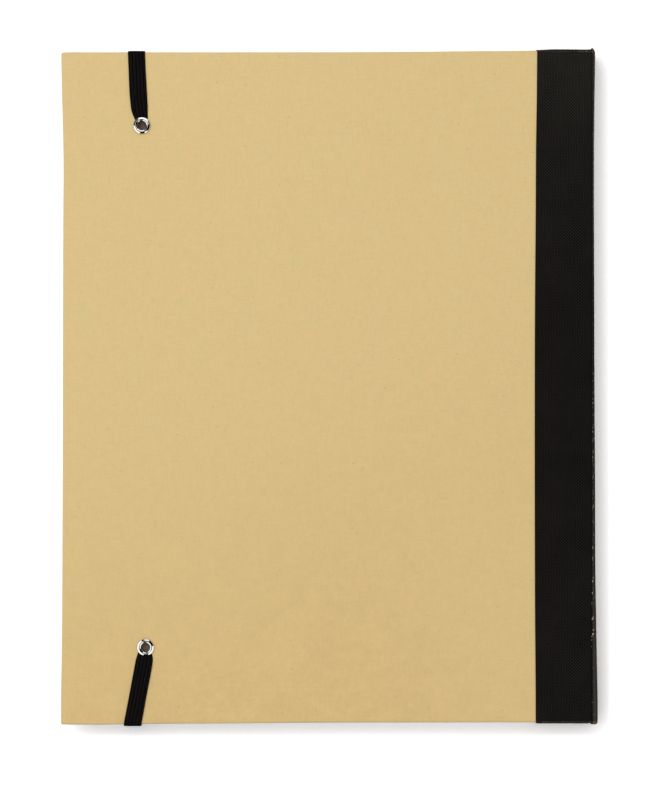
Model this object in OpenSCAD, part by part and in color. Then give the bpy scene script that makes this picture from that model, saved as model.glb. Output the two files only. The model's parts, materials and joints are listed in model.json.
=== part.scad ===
// Conference folder: two kraft-covered boards on a cloth spine, closed by a flat
// elastic band, with a writing pad, a document pocket and a pen loop inside.
// It lies on its front cover with the back cover up. The spine runs along Y at +X,
// the fore edge is at -X, and the head is at +Y. Sizes are in millimetres.

/* [Covers] */
// Width of the closed folder, from the fore edge to the face of the spine
folder_w = 246.5; // [240:0.5:280]
// Height of the covers, from head to tail
cover_h = 310; // [306:1:340]
// Thickness of the greyboard in the covers and the spine
board_t = 2; // [1.5:0.1:3]
// Thickness of the kraft covering paper
wrap_t = 0.25; // [0.2:0.05:0.4]
// Thickness of the lining paper
lining_t = 0.2; // [0.15:0.05:0.3]
// Width of the covering paper that is turned in round the board
turn_in_w = 16; // [10:1:25]
// Bare margin between the edge of a cover and its lining
lining_margin = 4; // [2:0.5:8]
// Radius of the covering paper where it folds round the board
edge_r = 0.6; // [0.3:0.05:0.65]

/* [Cloth spine] */
// Thickness of the book cloth
cloth_t = 0.35; // [0.25:0.05:0.5]
// Width of the book cloth on each cover
cloth_flap_w = 24.7; // [21:0.1:35]
// Length of the book cloth that is turned in at head and tail
cloth_turn_in = 8; // [6:0.5:12]
// How far the spine stands past the covers at head and tail
spine_past = 1; // [0.6:0.1:2]
// Room between a fold's axis and the spine board
joint_room = 0.85; // [0.7:0.05:1.5]
// Gap between the edge of a cover and its fold's axis
fold_gap = 0.3; // [0.2:0.05:0.6]
// Thickness of the hinge cloth inside
hinge_cloth_t = 0.3; // [0.2:0.05:0.4]

/* [Eyelets] */
// Diameter of an eyelet's domed flange
flange_d = 8; // [7:0.1:10]
// Diameter of an eyelet's hole
bore_d = 4.6; // [4:0.1:5]
// Thickness of the eyelet metal
eyelet_wall = 0.3; // [0.2:0.05:0.4]
// Height of the domed flange
flange_h = 0.9; // [0.7:0.05:1.2]
// Diameter of the clinched rim inside the cover
clinch_d = 7; // [6.5:0.1:8]
// Height of the clinched rim
clinch_h = 0.7; // [0.5:0.05:1]
// Head eyelet, from the fore edge
head_eyelet_in = 36.6; // [25:0.1:50]
// Head eyelet, from the head
head_eyelet_down = 34.2; // [25:0.1:60]
// Tail eyelet, from the fore edge
tail_eyelet_in = 38.3; // [25:0.1:50]
// Tail eyelet, from the tail
tail_eyelet_up = 34.9; // [25:0.1:60]

/* [Elastic band] */
// Width of the elastic
band_w = 7.6; // [6:0.1:12]
// Thickness of the elastic
band_t = 0.8; // [0.6:0.05:1.2]
// Width of the elastic where an eyelet gathers it
band_end_w = 6; // [5:0.1:7]
// Thickness of the elastic under an eyelet's flange
band_clamped_t = 0.35; // [0.2:0.05:0.5]
// Length over which the elastic spreads from the eyelet to its full width
band_spread = 10; // [6:0.5:16]
// Middle of the band at the head, from the fore edge
head_band_in = 34.4; // [25:0.1:50]
// Middle of the band at the tail, from the fore edge
tail_band_in = 32.2; // [25:0.1:50]

/* [Writing pad] */
// Margin between the fore edge and the pad
pad_in = 10; // [8:0.5:12]
// Margin between the pad and the covers' head and tail
pad_margin = 6.5; // [5:0.5:15]
// Width of the gutter between the pad and the fold's axis
gutter_w = 23.3; // [22:0.1:30]
// Thickness of the sheets together
sheets_t = 2.5; // [1:0.1:8]
// Thickness of the grey backing card
backing_t = 0.7; // [0.5:0.05:1.5]
// Thickness of the binding tape on the head of the pad
tape_t = 0.15; // [0.1:0.01:0.2]
// Width of the binding tape on each face of the pad
tape_w = 12; // [8:0.5:20]
// Depth of the glue between the backing and the sheets
glue_depth = 3; // [2:0.5:6]

/* [Pad sleeve] */
// Thickness of the sleeve card
sleeve_t = 0.3; // [0.2:0.05:0.5]
// Width of the sleeve's glued edges
sleeve_edge = 2.5; // [2:0.1:3]
// Width of the sleeve over the pad at the tail
sleeve_tail_w = 78; // [60:1:120]
// Width of the sleeve over the pad at its head end
sleeve_head_w = 20; // [10:1:40]
// Distance between the head of the pad and the head end of the sleeve
sleeve_down = 75; // [40:1:140]

/* [Document pocket] */
// Thickness of the pocket card
pocket_t = 0.4; // [0.3:0.05:0.6]
// Depth of the pocket
pocket_gap = 1.2; // [0.8:0.1:3]
// Room at each side of a sheet in the pocket
pocket_ease = 1; // [0.5:0.1:1.2]
// Height of the pocket
pocket_h = 150; // [100:1:220]
// Width of the pocket's glued edges
pocket_edge = 3; // [2:0.1:3.2]
// Diameter of the thumb cut
thumb_d = 36; // [24:1:50]
// Free height for loose papers between the pocket and the pad
paper_room = 4.7; // [4.5:0.1:12]
// Gap between the pad and the hinge cloth in the gutter
gutter_seam = 5.3; // [5:0.1:7]

/* [Pen loop] */
// Length of the pen loop along the spine
loop_l = 30; // [20:1:45]
// Width of the pen loop over all
loop_w = 13; // [11:0.5:14]
// Thickness of the loop's elastic
loop_t = 1; // [0.8:0.1:1.4]
// Gap between the pen loop and the front cover
loop_clear = 1.2; // [0.8:0.1:2]

/* [Clearances] */
// Clearance on each face of what slides on another piece
slide_clear = 0.1; // [0.05:0.05:0.2]
// Gap between the pieces glued side by side
fit_gap = 0.3; // [0.2:0.05:0.5]
// Clearance between an eyelet's barrel and its hole
barrel_clear = 0.05; // [0.02:0.01:0.1]
// Gap between a clinched rim and the pad
clinch_clear = 0.3; // [0.2:0.05:0.6]

/* [Hidden] */

// Colours as the object shows them
KRAFT = [0.85, 0.745, 0.52];
LINING = [0.82, 0.72, 0.52];
GREYBOARD = [0.55, 0.52, 0.47];
CLOTH = [0.11, 0.105, 0.1];
ELASTIC = [0.07, 0.065, 0.065];
NICKEL = [0.85, 0.85, 0.84];
PAPER = [0.95, 0.94, 0.9];

// Steps in a quarter turn of a drawn arc
arc_steps = 6;

// Thickness of the covered board, then of the cover with its lining
wrap_h = board_t + 2 * wrap_t;
cover_t = wrap_h + lining_t;

// Places along X and Y
x_fore = -folder_w / 2;
half_h = cover_h / 2;
joint_r = cloth_t + board_t + joint_room;
hinge_x = folder_w / 2 - joint_r;
cover_end = hinge_x - fold_gap;
flap_x = hinge_x - cloth_flap_w;
hinge_cloth_x = hinge_x - gutter_w + gutter_seam;
turn_y = half_h - cloth_turn_in;
spine_in = hinge_x + joint_room;
spine_half = half_h + spine_past;

// Places along Z, from the surface that the folder lies on
sleeve_room = sleeve_t + 2 * slide_clear;
pad_gap = clinch_h + clinch_clear;
inner_gap = pad_gap + backing_t + sleeve_room + sheets_t + paper_room + pocket_t + pocket_gap;
front_out = band_t;
front_in = front_out + cover_t;
back_in = front_in + inner_gap;
back_out = back_in + cover_t;
front_fold_z = front_out + board_t + joint_room;
back_fold_z = back_out - board_t - joint_room;

// Eyelets and the points where the band crosses the edges
barrel_d = bore_d + 2 * eyelet_wall;
hole_d = barrel_d + 2 * barrel_clear;
head_eyelet_at = [x_fore + head_eyelet_in, half_h - head_eyelet_down];
tail_eyelet_at = [x_fore + tail_eyelet_in, -half_h + tail_eyelet_up];
head_band_at = [x_fore + head_band_in, half_h];
tail_band_at = [x_fore + tail_band_in, -half_h];

// Writing pad
pad_x = x_fore + pad_in;
pad_end = hinge_x - gutter_w;
pad_w = pad_end - pad_x;
pad_h = cover_h - 2 * pad_margin;
backing_z = back_in - pad_gap - backing_t;
sheets_z = backing_z - sleeve_room - sheets_t;

// Points on an arc about c, from angle a to angle b
function arc(c, r, a, b) = [for (i = [0 : arc_steps]) let (t = a + (b - a) * i / arc_steps)
                            c + r * [cos(t), sin(t)]];

// Points on an arc of an ellipse with half axes r
function oval_arc(c, r, a, b, n) = [for (i = [0 : n]) let (t = a + (b - a) * i / n)
                                    c + [r.x * cos(t), r.y * sin(t)]];

// Outline of a box from low to high with round corners
function round_box(low, high, r) = concat(
    arc([high.x - r, low.y + r], r, -90, 0), arc([high.x - r, high.y - r], r, 0, 90),
    arc([low.x + r, high.y - r], r, 90, 180), arc([low.x + r, low.y + r], r, 180, 270));

// Smooth step from 0 at a to 1 at b
function smooth(s, a, b) = let (t = min(max((s - a) / (b - a), 0), 1)) t * t * (3 - 2 * t);

// A cover is drawn from its outer face inwards, then set in place
module as_back() { translate([0, 0, back_out]) mirror([0, 0, 1]) children(); }
module as_front() { translate([0, 0, front_out]) children(); }

// Extrusions of an outline in YZ along X, and of one in XZ along Y
module along_x(a, b) { translate([a, 0, 0]) rotate([90, 0, 90]) linear_extrude(height = b - a) children(); }
module along_y(a, b) { translate([0, b, 0]) rotate([90, 0, 0]) linear_extrude(height = b - a) children(); }

module eyelet_holes(d, low, high) {
    for (at = [head_eyelet_at, tail_eyelet_at])
        translate([at.x, at.y, low]) cylinder(d = d, h = high - low, $fn = 48);
}

// Greyboard of a cover
module cover_board() {
    translate([x_fore + wrap_t, -half_h + wrap_t, wrap_t])
        cube([cover_end - x_fore - wrap_t, cover_h - 2 * wrap_t, board_t]);
}

// The area inside the turned-in paper
module turn_in_window() {
    translate([x_fore + turn_in_w, -half_h + turn_in_w])
        square([cover_end - x_fore - turn_in_w, cover_h - 2 * turn_in_w]);
}

// Kraft paper folded round three edges of the board and turned in on its inner face
module cover_paper() {
    past = 1;
    difference() {
        intersection() {
            along_y(-half_h, half_h)
                polygon(concat([[cover_end, 0], [cover_end, wrap_h]],
                               arc([x_fore + edge_r, wrap_h - edge_r], edge_r, 90, 180),
                               arc([x_fore + edge_r, edge_r], edge_r, 180, 270)));
            along_x(x_fore, cover_end) polygon(round_box([-half_h, 0], [half_h, wrap_h], edge_r));
        }
        translate([0, -half_h + wrap_t, wrap_t])
            translate([x_fore + wrap_t, 0, 0]) cube([cover_end - x_fore, cover_h - 2 * wrap_t, board_t]);
        translate([0, 0, wrap_t + board_t]) linear_extrude(height = past) turn_in_window();
        translate([cover_end - past, -half_h + turn_in_w, wrap_t + board_t])
            cube([2 * past, cover_h - 2 * turn_in_w, past]);
    }
}

// Lining paper: it fills the window in the turn-ins and lies over their edges
module cover_lining() {
    translate([0, 0, wrap_t + board_t]) linear_extrude(height = wrap_t) turn_in_window();
    translate([0, 0, wrap_h]) linear_extrude(height = lining_t) difference() {
        translate([x_fore + lining_margin, -half_h + lining_margin])
            square([cover_end - x_fore - lining_margin, cover_h - 2 * lining_margin]);
        for (side = [-1, 1])
            translate([flap_x - fit_gap, side * half_h - (side > 0 ? cloth_turn_in + fit_gap : 0)])
                square([cloth_flap_w + fit_gap, cloth_turn_in + fit_gap]);
    }
}

// Book cloth on a cover, turned in over the head and the tail
module cover_spine_cloth() {
    along_x(flap_x, hinge_x) difference() {
        polygon(round_box([-half_h - cloth_t, -cloth_t], [half_h + cloth_t, wrap_h + cloth_t], edge_r + cloth_t));
        polygon(round_box([-half_h, 0], [half_h, wrap_h], edge_r));
        translate([-turn_y, wrap_h / 2]) square([2 * turn_y, wrap_h]);
    }
}

// Hinge cloth on the inner face of a cover
module cover_hinge_cloth() {
    y = turn_y - fit_gap;
    translate([hinge_cloth_x, -y, cover_t]) cube([cover_end - hinge_cloth_x, 2 * y, hinge_cloth_t]);
}

// Book cloth in a quarter round about a fold's axis
module fold_cloth() {
    length = cover_h + 2 * cloth_t;
    intersection() {
        rotate([90, 0, 0]) difference() {
            cylinder(r = joint_r, h = length, center = true, $fn = 64);
            cylinder(r = joint_r - cloth_t, h = length + 2, center = true, $fn = 64);
        }
        translate([0, -length, 0]) cube([2 * joint_r, 2 * length, 2 * joint_r]);
    }
}

module back_board() {
    color(GREYBOARD) difference() {
        as_back() cover_board();
        eyelet_holes(hole_d, back_in, back_out);
    }
}

module back_cover_paper() {
    color(KRAFT) difference() {
        as_back() cover_paper();
        eyelet_holes(hole_d, back_in, back_out + 1);
    }
}

module back_lining() {
    color(LINING) difference() {
        as_back() cover_lining();
        eyelet_holes(hole_d, back_in - 1, back_out);
    }
}

module back_spine_cloth() { color(CLOTH) as_back() cover_spine_cloth(); }
module back_hinge_cloth() { color(CLOTH) as_back() cover_hinge_cloth(); }
module front_board() { color(GREYBOARD) as_front() cover_board(); }
module front_cover_paper() { color(KRAFT) as_front() cover_paper(); }
module front_lining() { color(LINING) as_front() cover_lining(); }
module front_spine_cloth() { color(CLOTH) as_front() cover_spine_cloth(); }
module front_hinge_cloth() { color(CLOTH) as_front() cover_hinge_cloth(); }

// One-piece eyelet: a domed flange, a barrel through the cover and a rolled rim inside
module eyelet(at) {
    seat_z = back_out + band_clamped_t;
    bore_r = bore_d / 2;
    barrel_l = seat_z - back_in;
    flange_mid = (flange_d / 2 + bore_r) / 2;
    flange_a = (flange_d / 2 - bore_r) / 2;
    clinch_mid = (clinch_d / 2 + bore_r) / 2;
    clinch_a = (clinch_d / 2 - bore_r) / 2;
    wall = [eyelet_wall, eyelet_wall];
    n = 10;
    translate([at.x, at.y, seat_z]) rotate_extrude($fn = 64) polygon(concat(
        oval_arc([flange_mid, 0], [flange_a, flange_h], 0, 180, n),
        oval_arc([clinch_mid, -barrel_l], [clinch_a, clinch_h], 180, 360, n),
        oval_arc([clinch_mid, -barrel_l], [clinch_a, clinch_h] - wall, 360, 180, n),
        oval_arc([flange_mid, 0], [flange_a, flange_h] - wall, 180, 0, n)));
}

module head_eyelet() { color(NICKEL) eyelet(head_eyelet_at); }
module tail_eyelet() { color(NICKEL) eyelet(tail_eyelet_at); }

// The elastic from an eyelet to an edge of the folder and over it. It is drawn for
// the head: at is the eyelet, and over is the point where the band crosses the edge
module band_end(at, over) {
    run = over - at;
    length = norm(run);
    angle = atan2(run.y, run.x);
    flange_r = flange_d / 2;
    ring_r = flange_r - barrel_clear;
    step = 1.25;
    past = band_w;
    width_at_edge = band_w / sin(angle);
    function half_width(s) = (band_end_w + (band_w - band_end_w) * smooth(s, flange_r, flange_r + band_spread)) / 2;
    function thickness(s) = band_clamped_t
        + (band_t - band_clamped_t) * smooth(s, flange_r, flange_r + band_spread / 2);
    stations = [for (s = [flange_r : step : flange_r + band_spread]) s];
    ends = [0, length + past];
    lap = band_clamped_t;
    difference() {
        translate([at.x, at.y, back_out]) rotate([0, 0, angle]) intersection() {
            linear_extrude(height = band_t) union() {
                circle(r = ring_r, $fn = 48);
                polygon(concat([[ends[0], -band_end_w / 2]], [for (s = stations) [s, -half_width(s)]],
                               [[ends[1], -band_w / 2], [ends[1], band_w / 2]],
                               [for (i = [len(stations) - 1 : -1 : 0]) [stations[i], half_width(stations[i])]],
                               [[ends[0], band_end_w / 2]]));
            }
            rotate([90, 0, 0]) linear_extrude(height = 2 * band_w, center = true)
                polygon(concat([[-flange_r, 0], [ends[1], 0], [ends[1], band_t]],
                               [for (i = [len(stations) - 1 : -1 : 0]) [stations[i], thickness(stations[i])]],
                               [[-flange_r, band_clamped_t]]));
        }
        translate([at.x, at.y, back_out - 1]) cylinder(d = hole_d, h = band_t + 2, $fn = 48);
        translate([over.x - 2 * past, over.y, back_out - 1]) cube([4 * past, 4 * past, band_t + 2]);
    }
    along_x(over.x - width_at_edge / 2, over.x + width_at_edge / 2)
        polygon(concat([[half_h, band_t]], arc([half_h, band_t], band_t, -90, 0),
                       arc([half_h, back_out], band_t, 0, 90),
                       [[half_h - lap, back_out + band_t], [half_h - lap, back_out], [half_h, back_out]]));
}

module band_head_end() { color(ELASTIC) band_end(head_eyelet_at, head_band_at); }

module band_tail_end() {
    color(ELASTIC) mirror([0, 1, 0])
        band_end([tail_eyelet_at.x, -tail_eyelet_at.y], [tail_band_at.x, -tail_band_at.y]);
}

// The elastic across the front cover
module band_front_run() {
    side = [band_w / 2, 0];
    color(ELASTIC) linear_extrude(height = band_t)
        polygon([tail_band_at - side, tail_band_at + side, head_band_at + side, head_band_at - side]);
}

// Board, cloth and lining of the spine
module spine_board() {
    end_y = spine_half - cloth_t;
    color(GREYBOARD) translate([spine_in, -end_y, front_fold_z + fold_gap])
        cube([board_t, 2 * end_y, back_fold_z - front_fold_z - 2 * fold_gap]);
}

module spine_cloth() {
    board_end = spine_half - cloth_t;
    inner_y = spine_half - cloth_turn_in;
    color(CLOTH) translate([0, 0, front_fold_z]) linear_extrude(height = back_fold_z - front_fold_z) difference() {
        translate([spine_in - cloth_t, -spine_half]) square([board_t + 2 * cloth_t, 2 * spine_half]);
        translate([spine_in, -board_end]) square([board_t, 2 * board_end]);
        translate([spine_in - board_t, -inner_y]) square([2 * board_t, 2 * inner_y]);
    }
}

module spine_lining() {
    y = spine_half - cloth_turn_in - fit_gap;
    color(CLOTH) translate([spine_in - hinge_cloth_t, -y, front_fold_z + fold_gap])
        cube([hinge_cloth_t, 2 * y, back_fold_z - front_fold_z - 2 * fold_gap]);
}

module back_fold_cloth() { color(CLOTH) translate([hinge_x, 0, back_fold_z]) fold_cloth(); }
module front_fold_cloth() { color(CLOTH) translate([hinge_x, 0, front_fold_z]) mirror([0, 0, 1]) fold_cloth(); }

// Card sleeve glued to the back lining along the spine and the tail. The pad's
// backing slides into it from the fore edge
module pad_sleeve() {
    sleeve_l = pad_h - sleeve_down;
    spine_edge = pad_end + slide_clear;
    tail_edge = -pad_h / 2 - slide_clear;
    face_z = backing_z - slide_clear - sleeve_t;
    color(KRAFT) difference() {
        union() {
            translate([0, 0, face_z]) linear_extrude(height = sleeve_t)
                polygon([[pad_end - sleeve_tail_w, tail_edge - sleeve_edge],
                         [spine_edge + sleeve_edge, tail_edge - sleeve_edge],
                         [spine_edge + sleeve_edge, tail_edge + sleeve_l],
                         [pad_end - sleeve_head_w, tail_edge + sleeve_l]]);
            translate([spine_edge, tail_edge - sleeve_edge, face_z])
                cube([sleeve_edge, sleeve_l + sleeve_edge, back_in - face_z]);
            translate([pad_end - sleeve_tail_w, tail_edge - sleeve_edge, face_z])
                cube([sleeve_tail_w + slide_clear + sleeve_edge, sleeve_edge, back_in - face_z]);
        }
        // Room for the turned-in book cloth
        translate([flap_x - fit_gap, -half_h, back_out - wrap_h - cloth_t])
            cube([cloth_flap_w, cloth_turn_in + fit_gap, cover_t]);
    }
}

// Elastic loop for a pen, in the gutter beside the pad
module pen_loop() {
    height = inner_gap - 2 * hinge_cloth_t - loop_clear;
    middle = (hinge_cloth_x + cover_end) / 2;
    top = back_in - hinge_cloth_t;
    r = height / 2.2;
    color(ELASTIC) along_y(-loop_l / 2, loop_l / 2) translate([middle, top - height]) difference() {
        polygon(round_box([-loop_w / 2, 0], [loop_w / 2, height], r));
        polygon(round_box([-loop_w / 2 + loop_t, loop_t], [loop_w / 2 - loop_t, height - loop_t], r - loop_t));
    }
}

// Card pocket on the front lining, open towards the head
module document_pocket() {
    pocket_w = pad_w + 2 * pocket_ease;
    width = pocket_w + 2 * pocket_edge;
    left = pad_x - pocket_ease - pocket_edge;
    bottom = -turn_y + fit_gap;
    color(KRAFT) translate([left, bottom, front_in]) difference() {
        cube([width, pocket_h, pocket_gap + pocket_t]);
        translate([pocket_edge, pocket_edge, -1]) cube([pocket_w, pocket_h, pocket_gap + 1]);
        translate([width / 2, pocket_h, -1]) cylinder(d = thumb_d, h = pocket_gap + pocket_t + 2, $fn = 64);
    }
}

// Glued writing pad
module pad_backing() {
    color(GREYBOARD) translate([pad_x, -pad_h / 2, backing_z]) cube([pad_w, pad_h, backing_t]);
}

module pad_sheets() {
    color(PAPER) translate([pad_x, -pad_h / 2, sheets_z]) cube([pad_w, pad_h, sheets_t]);
}

module pad_binding_tape() {
    head = pad_h / 2;
    color(CLOTH) along_x(pad_x, pad_end) {
        difference() {
            translate([head - tape_w, sheets_z - tape_t])
                square([tape_w + tape_t, backing_z + backing_t - sheets_z + 2 * tape_t]);
            translate([head - tape_w - 1, sheets_z]) square([tape_w + 1, backing_z + backing_t - sheets_z]);
        }
        translate([head - glue_depth, sheets_z + sheets_t]) square([glue_depth + tape_t / 2, sleeve_room]);
    }
}

back_board();
back_cover_paper();
back_lining();
back_spine_cloth();
back_hinge_cloth();
head_eyelet();
tail_eyelet();
band_head_end();
band_tail_end();
pad_sleeve();
pen_loop();
spine_board();
spine_cloth();
spine_lining();
back_fold_cloth();
front_fold_cloth();
front_board();
front_cover_paper();
front_lining();
front_spine_cloth();
front_hinge_cloth();
document_pocket();
band_front_run();
pad_backing();
pad_sheets();
pad_binding_tape();
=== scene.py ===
"""Conference folder: kraft-covered boards on a black cloth spine, closed by a flat elastic
band in two eyelets, with a writing pad, a document pocket and a pen loop inside.

The folder lies closed on its front cover. The spine is at +X and the head at +Y.
"""

import json
import math

import bmesh
import bpy
from bpy.props import FloatProperty, FloatVectorProperty, IntProperty, PointerProperty
from mathutils import Matrix, Vector, noise


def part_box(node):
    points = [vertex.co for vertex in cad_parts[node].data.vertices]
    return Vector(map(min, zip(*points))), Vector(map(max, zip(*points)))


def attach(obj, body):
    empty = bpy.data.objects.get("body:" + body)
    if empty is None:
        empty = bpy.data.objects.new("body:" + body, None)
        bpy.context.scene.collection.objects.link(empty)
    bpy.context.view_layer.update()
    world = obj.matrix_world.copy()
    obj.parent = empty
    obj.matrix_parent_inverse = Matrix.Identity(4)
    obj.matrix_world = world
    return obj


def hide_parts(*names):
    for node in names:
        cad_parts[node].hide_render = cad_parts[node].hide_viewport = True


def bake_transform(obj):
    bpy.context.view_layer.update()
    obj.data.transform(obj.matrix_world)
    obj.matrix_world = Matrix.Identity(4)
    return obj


bl_info = {
    "name": "Conference Folder",
    "version": (1, 0, 0),
    "blender": (4, 5, 0),
    "location": "View3D > Sidebar > Folder",
    "description": "Builds a kraft conference folder with a cloth spine and an elastic band",
    "category": "Add Mesh",
}

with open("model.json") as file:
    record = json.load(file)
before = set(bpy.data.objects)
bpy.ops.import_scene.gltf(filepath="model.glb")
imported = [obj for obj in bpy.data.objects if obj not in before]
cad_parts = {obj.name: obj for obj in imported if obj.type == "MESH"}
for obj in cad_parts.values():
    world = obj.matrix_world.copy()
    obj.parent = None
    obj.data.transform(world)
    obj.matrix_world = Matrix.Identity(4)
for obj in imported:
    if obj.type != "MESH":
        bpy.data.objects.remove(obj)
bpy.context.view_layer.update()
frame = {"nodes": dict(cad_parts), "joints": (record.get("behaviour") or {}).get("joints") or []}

MM = 0.001
JOINT_AT = {joint["name"]: joint.get("pos_m") for joint in frame["joints"]}

# Places of the covers, the folds and the spine, from the frame
BACK_LOW, BACK_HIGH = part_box("back_cover_paper")
FRONT_LOW, FRONT_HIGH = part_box("front_cover_paper")
HALF_H = BACK_HIGH.y
COVER_END = BACK_HIGH.x
HINGE_X = JOINT_AT["spine_fold"][0]
BACK_FOLD_Z = JOINT_AT["spine_fold"][2]
FRONT_FOLD_Z = JOINT_AT["cover_fold"][2]
MID_Z = (BACK_FOLD_Z + FRONT_FOLD_Z) / 2
FLAP_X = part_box("back_spine_cloth")[0].x
SPINE_LOW, SPINE_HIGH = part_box("spine_cloth")
JOINT_R = SPINE_HIGH.x - HINGE_X
HINGE_CLOTH_LOW, HINGE_CLOTH_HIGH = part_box("back_hinge_cloth")
BAND_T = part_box("band_front_run")[1].z

# Gap between the turned-in cloth and the hinge cloth
SEAM = 0.04 * MM


def linear(r, g, b):
    """A colour given in 0 to 255 as it shows on a screen, in the renderer's linear values."""
    return tuple((c / 255 / 12.92) if c < 10.3 else ((c / 255 + 0.055) / 1.055) ** 2.4 for c in (r, g, b))


class FolderSizes(bpy.types.PropertyGroup):
    """Sizes that the frame leaves open."""

    edge_round: FloatProperty(
        name="Edge round",
        description="Radius of the paper round a board's edge",
        default=0.95 * MM,
        unit="LENGTH",
    )
    corner_round: FloatProperty(
        name="Corner round", description="Radius of a cover's corner", default=0.9 * MM, unit="LENGTH"
    )
    flare: FloatProperty(
        name="Flare",
        description="How far the covers' edges leave the straight line",
        default=1.0,
        min=0,
        max=2,
    )
    cloth_thickness: FloatProperty(
        name="Cloth thickness", description="Thickness of the book cloth", default=0.33 * MM, unit="LENGTH"
    )
    crease_depth: FloatProperty(
        name="Crease depth",
        description="Depth of the crease beside the spine",
        default=0.24 * MM,
        unit="LENGTH",
    )
    yarn: FloatProperty(
        name="Yarn pitch",
        description="Distance between the yarns of the book cloth",
        default=0.72 * MM,
        unit="LENGTH",
    )
    band_ribs: IntProperty(
        name="Band ribs",
        description="Ribs across the elastic band",
        default=5,
        min=3,
        max=20,
    )
    pad_sheets: IntProperty(
        name="Pad sheets",
        description="Sheets in the writing pad",
        default=24,
        min=5,
        max=60,
    )
    rule_pitch: FloatProperty(
        name="Rule pitch", description="Distance between the pad's ruled lines", default=8 * MM, unit="LENGTH"
    )


class FolderColours(bpy.types.PropertyGroup):
    """Colours of the folder's materials."""

    kraft: FloatVectorProperty(
        name="Kraft", description="Kraft covering paper", subtype="COLOR", default=linear(219, 194, 138)
    )
    # Painted shade: the kraft colour towards the tail and the spine, which stands for the lesser light there
    kraft_tail_shade: FloatVectorProperty(
        name="Shaded kraft",
        description="Kraft paper towards the tail",
        subtype="COLOR",
        default=linear(213.5, 182.3, 124),
    )
    kraft_warm: FloatVectorProperty(
        name="Warm kraft",
        description="Warmer patches in the kraft paper",
        subtype="COLOR",
        default=linear(217.5, 187.5, 130.5),
    )
    fleck: FloatVectorProperty(
        name="Fleck",
        description="Dark fibres in the kraft paper",
        subtype="COLOR",
        default=linear(150, 120, 78),
    )
    lining: FloatVectorProperty(
        name="Lining", description="Lining paper", subtype="COLOR", default=linear(226, 208, 166)
    )
    cloth: FloatVectorProperty(
        name="Cloth", description="Book cloth", subtype="COLOR", default=linear(28, 26, 24)
    )
    # Rubbed wear and painted sheen: the lighter grey of the spine's rounded edge
    rubbed: FloatVectorProperty(
        name="Rubbed cloth",
        description="Greyed cloth along the spine",
        subtype="COLOR",
        default=linear(68, 63, 59),
    )
    threads: FloatVectorProperty(
        name="Bare threads",
        description="Threads where the cloth is rubbed",
        subtype="COLOR",
        default=linear(196, 176, 150),
    )
    worn: FloatVectorProperty(
        name="Worn cloth",
        description="Bare threads on the worn folds",
        subtype="COLOR",
        default=linear(142, 112, 76),
    )
    elastic: FloatVectorProperty(
        name="Elastic", description="Elastic band", subtype="COLOR", default=linear(18.5, 16.8, 16.3)
    )
    nickel: FloatVectorProperty(
        name="Nickel", description="Eyelets", subtype="COLOR", default=linear(236, 234, 230)
    )
    greyboard: FloatVectorProperty(
        name="Greyboard",
        description="Boards and the pad's backing",
        subtype="COLOR",
        default=linear(122, 106, 89),
    )
    paper: FloatVectorProperty(
        name="Paper", description="Sheets of the pad", subtype="COLOR", default=linear(244, 242, 235)
    )
    rule: FloatVectorProperty(
        name="Rule", description="Ruled lines on the pad", subtype="COLOR", default=linear(168, 182, 196)
    )


class Value:
    """A shader socket that takes part in sums."""

    def __init__(self, shade, socket):
        self.shade = shade
        self.socket = socket

    def math(self, operation, *others):
        inputs = dict(enumerate((self, *others)))
        return self.shade.add("ShaderNodeMath", {"operation": operation}, inputs)

    def __add__(self, other):
        return self.math("ADD", other)

    def __radd__(self, other):
        return self.math("ADD", other)

    def __sub__(self, other):
        return self.math("SUBTRACT", other)

    def __rsub__(self, other):
        return self.shade.add("ShaderNodeMath", {"operation": "SUBTRACT"}, {0: other, 1: self})

    def __mul__(self, other):
        return self.math("MULTIPLY", other)

    def __rmul__(self, other):
        return self.math("MULTIPLY", other)

    def __truediv__(self, other):
        return self.math("DIVIDE", other)

    def __gt__(self, other):
        return self.math("GREATER_THAN", other)

    def __abs__(self):
        return self.math("ABSOLUTE")

    def sine(self):
        return self.math("SINE")

    def highest(self, other):
        return self.math("MAXIMUM", other)

    def ramp(self, low, high):
        """A smooth step from 0 at low to 1 at high."""
        return self.shade.add(
            "ShaderNodeMapRange",
            {"interpolation_type": "SMOOTHSTEP"},
            {"Value": self, "From Min": low, "From Max": high, "To Min": 0.0, "To Max": 1.0},
        )

    def near(self, centre, core, fade):
        """1 within core of centre, falling to 0 at fade."""
        return 1 - abs(self - centre).ramp(core, fade)


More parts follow.
